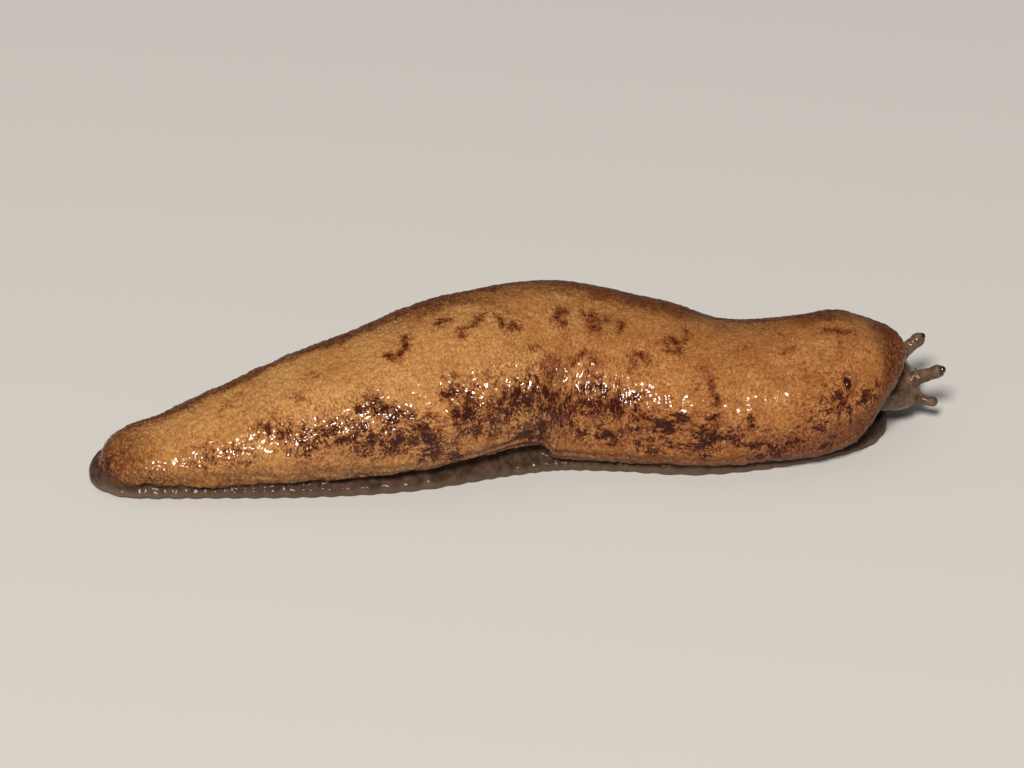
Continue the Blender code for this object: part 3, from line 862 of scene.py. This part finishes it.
def relief(points, local, weights, grain, folds, flank):
    """How far the skin stands out of its smooth form, in millimetres."""
    x = local[:, 0]
    on_mantle, on_foot, on_head = weights
    ridges = granules(local / RIDGE_CELL, RIDGE_SEED) - GRANULE_MEAN
    head_granules = granules(points / HEAD_GRANULE_SIZE, HEAD_GRANULE_SEED) - GRANULE_MEAN
    foot_granules = granules(local / FOOT_GRANULE_CELL, FOOT_GRANULE_SEED) - GRANULE_MEAN
    mantle_height = (
        through(GRANULE_HEIGHT, x) * (grain - GRANULE_MEAN)
        + through(RIDGE_HEIGHT, x) * flank * ridges
        + through(LUMP_HEIGHT, x) * flank * soft_noise(local / LUMP_SIZE, LUMP_SEED)
        + SWELL_HEIGHT * soft_noise(points / SWELL_SIZE, SWELL_SEED)
        + FINE_HEIGHT * soft_noise(local / FINE_SIZE, FINE_SEED)
        - FOLD_DEPTH * folds
    )
    return (
        on_mantle * mantle_height
        + on_head * HEAD_GRANULE_HEIGHT * head_granules
        + on_foot * FOOT_GRANULE_HEIGHT * foot_granules
    )


def browning_and_shade(local):
    """How far the clear skin is brown or painted with shade: brown at the tail's end and low on the tail,
    painted shade with some brown low on the rear and along the rim, painted shade in the bay, and brown with
    painted shade low in front and on top.
    """
    x, side, up = local.T
    above = above_rim(local)
    tail = smooth_step(*TAIL_AT, x)
    low_tail = LOW_TAIL_BROWN * smooth_step(*LOW_TAIL_AT, x) * smooth_step(*LOW_TAIL_UP, above)
    # Painted shade with some brown: the low rear, the rim and the bay.
    low_rear = LOW_REAR_SHADE_AND_BROWN * bell(x, LOW_REAR_AT, LOW_REAR_REACH) * smooth_step(*LOW_REAR_UP, above)
    rim = RIM_SHADE_AND_BROWN * smooth_step(*RIM_UP, above)
    bay = bell(x, BAY_AT, BAY_REACH) * smooth_step(*BAY_UP, above)
    # Brown with painted shade: the front, the low front, the back and the crest.
    front = smooth_step(*FRONT_AT, x) * smooth_step(*FRONT_UP, above)
    low_front = smooth_step(*LOW_FRONT_AT, x) * smooth_step(*LOW_FRONT_UP, up)
    ragged = BACK_EDGE_WARP * layered_noise(local / BACK_EDGE_SIZE, BACK_EDGE_SEED)
    share = side / through(HALF_WIDTH, x) + ragged
    upper = smooth_step(0, 1, up - through(CREST, x) + BACK_DEPTH)
    back = through(BACK_SHADE_AND_BROWN, x) * smooth_step(*BACK_REACH, np.abs(share - BACK_AT)) * upper
    crest = CREST_SHADE_AND_BROWN * smooth_step(*CREST_REACH, np.abs(share - CREST_AT)) * upper
    brown_and_shade = np.max((tail, low_tail, low_rear, rim, bay, front, low_front, back, crest), axis=0)
    patches = BROWN_PATCHINESS * layered_noise(local / BROWN_PATCH_SIZE, BROWN_PATCH_SEED, layers=2)
    return np.clip(brown_and_shade + patches, 0, MOST_BROWN_AND_SHADE)


def make_pore(points, normals, tree):
    centre = seen_at(PORE_PIXEL, tree)
    outward = normals[np.argmin(np.linalg.norm(points - centre, axis=1))]
    return pressed_in(points, centre, -outward, axes_across(outward), PORE_RADII, PORE_DEPTH, PORE_RIM)


def axes_across(outward):
    """Two axes at right angles to the direction: one level, one up the slope."""
    level = np.cross((0, 0, 1), outward)
    level /= np.linalg.norm(level)
    return level, np.cross(outward, level)


def make_eye_cup(points, side):
    """Presses a cup into the tentacle's tip and moves the skin off the eye that sits in it."""
    centre, outward = eye_centre(side), eye_direction(side)
    radii = (EYE_CUP_RADIUS, EYE_CUP_RADIUS)
    points, _, _ = pressed_in(points, centre, -outward, axes_across(outward), radii, EYE_CUP_DEPTH)
    off = points - centre
    ahead = off @ outward
    beside = off - ahead[:, None] * outward
    socket = EYE_RADIUS + EYE_ROOM
    inside = np.linalg.norm(off, axis=1) < socket
    reach = np.sqrt(socket**2 - ahead[inside] ** 2) / np.maximum(np.linalg.norm(beside[inside], axis=1), TINY)
    points[inside] = centre + ahead[inside, None] * outward + beside[inside] * reach[:, None]
    return points


def press_hollows(points, normals, tree):
    """Presses in the pore, the mouth and the eye sockets.

    Also gives how much each point is in the pore or the mouth, and on the pore's lip, from 0 to 1.
    """
    points, pore, pore_lip = make_pore(points, normals, tree)
    points, mouth, _ = pressed_in(
        points, to_world(SNOUT, 0, MOUTH_HEIGHT), np.array((-1.0, 0, 0)), ((0, 1, 0), (0, 0, 1)),
        MOUTH_RADII, MOUTH_DEPTH,
    )
    for side in (-1, 1):
        points = make_eye_cup(points, side)
    return points, np.maximum(pore, mouth), pore_lip


def set_values(mesh, name, values):
    kind = "FLOAT" if values.ndim == 1 else "FLOAT_VECTOR"
    layer = mesh.attributes.new(name, kind, "POINT")
    layer.data.foreach_set("value" if kind == "FLOAT" else "vector", values.astype(np.float32).ravel())


def finish_surface(skin, trees):
    """Gives the skin its granules, pore, mouth and eye sockets, and the values that its colours use."""
    mesh = skin.data
    points = read_vectors(mesh.vertices, "co")
    normals = read_vectors(mesh.vertex_normals, "vector")
    local = np.stack(to_body(points), axis=1)
    weights = regions(points, trees)
    on_mantle, on_foot, on_head = weights
    dark, solid = pigment(points, trees[0])
    dark *= on_mantle
    folds = rim_folds(local)
    upward = normals[:, 2]
    flank = smooth_step(*FLANK_TILT, upward)
    grain = granules(local / GRANULE_CELL, GRANULE_SEED)
    height = relief(points, local, weights, grain, folds, flank)
    flat = smooth_step(*SOLE_TILT, upward) * smooth_step(*SOLE_REACH, local[:, 2])
    points = points + (height * (1 - flat))[:, None] * normals
    points, hollow, pore_lip = press_hollows(points, normals, trees[0])
    points[:, 2] = np.maximum(points[:, 2], 0)
    mesh.vertices.foreach_set("co", to_metres(points).astype(np.float32).ravel())
    mesh.update()
    mesh.shade_smooth()

    stain = STAIN * smooth_step(*STAIN_FROM, dark)
    wet = through(MANTLE_WETNESS, local[:, 0]) * (flank * smooth_step(*WET_ABOVE_RIM, above_rim(local)))
    values = {
        "mantle": on_mantle,
        "head": on_head,
        "dark": dark,
        "solid": solid,
        "hollow": hollow,
        # Brown, and painted shade low on the mantle, in the bay and on the back.
        "brown_and_shade": np.max((browning_and_shade(local), PORE_LIP_BROWN * pore_lip, stain), axis=0),
        "fold": folds,
        "crease": smooth_step(*CREASE_FROM, grain),
        "wet": on_mantle * wet + FOOT_WETNESS * on_foot + on_head,
        "body": local,
        "grain": np.stack((local[:, 0], around(*local.T), local[:, 2]), axis=1),
    }
    for name, value in values.items():
        set_values(mesh, name, value)


# Materials


def connect(tree, node, inputs):
    """Sets the node's inputs, each to a value or from the socket that feeds it."""
    for name, value in inputs.items():
        if isinstance(value, bpy.types.NodeSocket):
            tree.links.new(value, node.inputs[name])
        else:
            node.inputs[name].default_value = value


def add_node(tree, kind, inputs=None, **settings):
    node = tree.nodes.new("ShaderNode" + kind)
    for name, value in settings.items():
        setattr(node, name, value)
    connect(tree, node, inputs or {})
    return node


def calculate(tree, operation, *values):
    return add_node(tree, "Math", dict(enumerate(values)), operation=operation).outputs[0]


def rising(tree, value, start, gain):
    """start where the value is 0, and higher by gain where it is 1."""
    return calculate(tree, "MULTIPLY_ADD", value, gain, start)


def between(tree, value, low, high):
    """0 up to low, 1 from high on, smooth between them."""
    node = add_node(
        tree, "MapRange", {"Value": value, "From Min": low, "From Max": high}, interpolation_type="SMOOTHSTEP"
    )
    return node.outputs["Result"]


def spread(tree, noise, reach=PLAIN_SPREAD):
    """Noise with its middle values pulled apart, so that it uses the whole range."""
    return between(tree, noise, 0.5 - reach, 0.5 + reach)


def mixed(tree, share, first, second):
    """The first colour where share is 0, the second where it is 1."""
    node = add_node(tree, "Mix", {0: share, 6: first, 7: second}, data_type="RGBA")
    return node.outputs[2]


def noise_at(tree, place, size, detail=2.0, roughness=0.5):
    """Noise from 0 to 1, its features about size across in the place's units."""
    inputs = {"Vector": place, "Scale": 0.5 / size, "Detail": detail, "Roughness": roughness}
    return add_node(tree, "TexNoise", inputs).outputs["Fac"]


def cells_at(tree, place, size):
    """Cells about size across: 0 at their edges, rising towards their middles."""
    inputs = {"Vector": place, "Scale": 1 / size}
    return add_node(tree, "TexVoronoi", inputs, feature="DISTANCE_TO_EDGE").outputs["Distance"]


def bumped(tree, height, depth, normal=None):
    inputs = {"Height": height, "Distance": depth}
    if normal is not None:
        inputs["Normal"] = normal
    return add_node(tree, "Bump", inputs).outputs["Normal"]


def stretched(tree, place, scale):
    return add_node(tree, "Mapping", {"Vector": place, "Scale": scale}).outputs["Vector"]


def value_named(tree, name, output="Fac"):
    return add_node(tree, "Attribute", attribute_name=name).outputs[output]


def new_material(name):
    material = bpy.data.materials.new(name)
    material.use_nodes = True
    tree = material.node_tree
    return material, tree, tree.nodes["Principled BSDF"]


def net_of_skin(tree, grain):
    """The fine net in the skin, with the creases between the granules added to it, which also paints shade
    into the creases.
    """
    net = spread(tree, noise_at(tree, stretched(tree, grain, NET_STRETCH), *NET_NOISE), NET_SPREAD)
    return calculate(tree, "MULTIPLY_ADD", value_named(tree, "crease"), CREASE_SHADE_SHARE, net)


def clear_colour(tree, body, x, net):
    """The mantle's colour where it has no dark pigment, with painted shade in its brown."""
    broad = spread(tree, noise_at(tree, body, *BROAD_NOISE))
    flushed = spread(tree, noise_at(tree, body, *FLUSH_NOISE), FLUSH_SPREAD)
    towards_front = between(tree, x, *TOWARDS_FRONT)
    colour = mixed(tree, broad, TAN, TAN_DULL)
    colour = mixed(tree, between(tree, x, *TAN_FRONT_FROM), colour, TAN_FRONT)
    flush = calculate(tree, "MULTIPLY", flushed, rising(tree, towards_front, *FLUSH_SHARE))
    colour = mixed(tree, flush, colour, FLUSH)
    stipple = calculate(tree, "MULTIPLY", net, rising(tree, towards_front, *STIPPLE_SHARE))
    colour = mixed(tree, stipple, colour, STIPPLE)
    # Brown, with painted shade low on the mantle, in the bay and on the back.
    brown_and_shade = calculate(tree, "MULTIPLY", value_named(tree, "brown_and_shade"), rising(tree, net, *BROWN_AND_SHADE_SHARE))
    return mixed(tree, brown_and_shade, colour, TAN_BROWN_AND_SHADE)


def density(tree, grain, mottle, net):
    """How dense the dark pigment is: ragged with the skin's own pattern, and less so where it is solid."""
    fibres = spread(tree, noise_at(tree, stretched(tree, grain, FIBRE_STRETCH), *FIBRE_NOISE))
    mottled = calculate(tree, "MULTIPLY", mottle, RAGGED_MOTTLE)
    ragged = calculate(tree, "MULTIPLY_ADD", fibres, RAGGED_FIBRES, mottled)
    ragged = calculate(tree, "SUBTRACT", ragged, RAGGED_MIDDLE)
    ragged = calculate(tree, "MULTIPLY_ADD", net, RAGGED_NET, ragged)
    dark = value_named(tree, "dark")
    gain = calculate(tree, "MINIMUM", rising(tree, dark, *RAGGED_GAIN), 1.0)
    gain = calculate(tree, "MULTIPLY", gain, rising(tree, value_named(tree, "solid"), 1.0, -BLOTCH_SOLIDNESS))
    return calculate(tree, "MULTIPLY_ADD", dark, DARK_GAIN, calculate(tree, "MULTIPLY", ragged, gain))


def skin_material():
    material, tree, shader = new_material("moist_skin")
    body = value_named(tree, "body", "Vector")
    grain = value_named(tree, "grain", "Vector")
    axes = add_node(tree, "SeparateXYZ", {"Vector": body}).outputs
    mottle = spread(tree, noise_at(tree, body, *MOTTLE_NOISE))
    net = net_of_skin(tree, grain)
    tubercles = cells_at(tree, stretched(tree, body, TUBERCLE_STRETCH), TUBERCLE_SIZE)

    dense = density(tree, grain, mottle, net)
    mantle = clear_colour(tree, body, axes["X"], net)
    mantle = mixed(tree, between(tree, dense, *BROWN_FROM), mantle, BROWN)
    mantle = mixed(tree, between(tree, dense, *DARK_FROM), mantle, DARK_BROWN)
    # Painted shade: the rim's creases darkened to dark brown.
    mantle = mixed(tree, value_named(tree, "fold"), mantle, DARK_BROWN)

    # The foot is painted darker than its own colour: painted shade.
    foot = mixed(tree, mottle, FOOT_SHADE_COLOUR, FOOT_SHADE_DARK)
    foot = mixed(tree, between(tree, axes["Z"], *SOLE_FROM), foot, SOLE_COLOUR)
    head = mixed(tree, mottle, HEAD_COLOUR, HEAD_DARK)
    # Painted shade in the creases between the head's tubercles.
    creased = calculate(tree, "MULTIPLY", between(tree, tubercles, *HEAD_CREASE_FROM), HEAD_CREASE_SHARE)
    head = mixed(tree, creased, head, HEAD_CREASE_SHADE)
    colour = mixed(tree, value_named(tree, "mantle"), foot, mantle)
    colour = mixed(tree, value_named(tree, "head"), colour, head)
    # Painted shade: the pore and the mouth darkened in their hollows.
    colour = mixed(tree, between(tree, value_named(tree, "hollow"), *HOLLOW_FROM), colour, HOLLOW_SHADE_COLOUR)

    bumps = calculate(tree, "MULTIPLY", between(tree, tubercles, *TUBERCLE_FROM), value_named(tree, "head"))
    rough = bumped(tree, bumps, TUBERCLE_BUMP, bumped(tree, net, SKIN_BUMP))
    film = bumped(tree, bumps, TUBERCLE_BUMP, bumped(tree, noise_at(tree, body, FILM_SIZE), FILM_BUMP))
    connect(tree, shader, {
        "Base Color": colour,
        "Roughness": 0.6,
        "Specular IOR Level": 0.05,
        "Subsurface Weight": 0.04,
        "Subsurface Radius": (1.0, 0.45, 0.25),
        "Subsurface Scale": 0.0004,
        "Coat Weight": rising(tree, value_named(tree, "wet"), *FILM_WEIGHT),
        "Coat Roughness": 0.1,
        "Coat IOR": 1.35,
        "Normal": rough,
        "Coat Normal": film,
    })
    return material


def eye_material():
    material, tree, shader = new_material("eye")
    place = add_node(tree, "TexCoord").outputs["Object"]
    cloudy = noise_at(tree, place, EYE_CLOUD_SIZE * MM)
    connect(tree, shader, {
        "Base Color": mixed(tree, between(tree, cloudy, *EYE_CLOUD_FROM), EYE_COLOUR, EYE_PALE),
        "Roughness": 0.2,
        "Coat Weight": 1.0,
        "Coat Roughness": 0.04,
    })
    return material


def floor_material():
    material, tree, shader = new_material("floor")
    connect(tree, shader, {"Base Color": FLOOR_COLOUR, "Roughness": 0.85})
    return material


# The slug, its eyes and its stage


def add_skin():
    mantle, foot, head = make_forms()
    trees = [tree_of([mantle]), tree_of([foot]), tree_of(head)]
    skin = fuse([mantle, foot, *head])
    finish_surface(skin, trees)
    skin.data.materials.append(skin_material())
    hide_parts(*FLESH)
    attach(skin, "root")


def add_eyes():
    material = eye_material()
    for name, side in (("right", -1), ("left", 1)):
        eye = ellipsoid("eyeball_" + name, to_metres(eye_centre(side)), (EYE_RADIUS * MM,) * 3)
        eye.data.shade_smooth()
        eye.data.materials.append(material)
        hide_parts("eye_" + name)
        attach(eye, "root")


def add_floor():
    floor = new_object("floor", [(-1, -1, 0), (1, -1, 0), (1, 1, 0), (-1, 1, 0)], [(0, 1, 2, 3)])
    floor.data.materials.append(floor_material())


def add_light(name, azimuth, elevation, distance, size, power, colour):
    """A square soft light aimed at the slug."""
    data = bpy.data.lights.new(name, "AREA")
    data.size, data.energy, data.color = size, power, colour
    aim(bpy.data.objects.new(name, data), azimuth, elevation, distance)


def add_world():
    world = bpy.data.worlds.new("studio")
    world.use_nodes = True
    background = world.node_tree.nodes["Background"]
    connect(world.node_tree, background, {"Color": WORLD_COLOUR, "Strength": WORLD_STRENGTH})
    bpy.context.scene.world = world


add_camera()
add_skin()
add_eyes()
add_floor()
for light in LIGHTS:
    add_light(*light)
add_world()
bpy.context.scene.view_settings.view_transform = "Standard"
